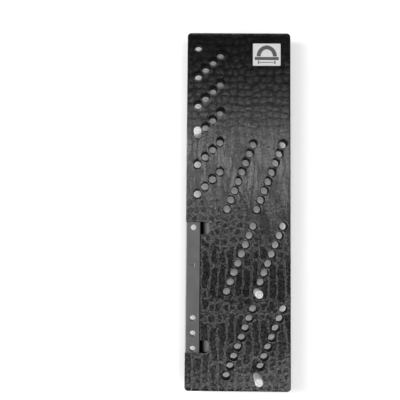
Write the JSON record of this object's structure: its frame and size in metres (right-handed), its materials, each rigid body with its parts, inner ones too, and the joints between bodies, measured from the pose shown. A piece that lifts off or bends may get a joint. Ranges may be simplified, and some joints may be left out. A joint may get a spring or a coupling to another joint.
{
  "type": "handle positioning jig",
  "caption": "Long flat plate with slanted rows of stop holes, round stop pins, and a steel guide bar in an edge pocket, for drilling cabinet handle holes.",
  "frame": {"origin": "axis of the guide bar's first guide hole, at the plate's upper face", "axes": "+X across the plate to the right, +Y along the plate away from the other guide holes, +Z out of the upper face"},
  "size_m": [0.112, 0.384, 0.049],
  "materials": {
    "plate": "black, embossed like hide, satin",
    "bar": "even dull grey, fine milled",
    "pin": "turned, bright",
    "magnet": "plated"
  },
  "bodies": {
    "root": {"jig_plate": "plate", "guide_bar": "bar", "height_stop_pin": "pin", "upper_side_stop_pin": "pin", "lower_side_stop_pin": "pin", "upper_bar_magnet": "magnet", "lower_bar_magnet": "magnet"}
  },
  "joints": []
}
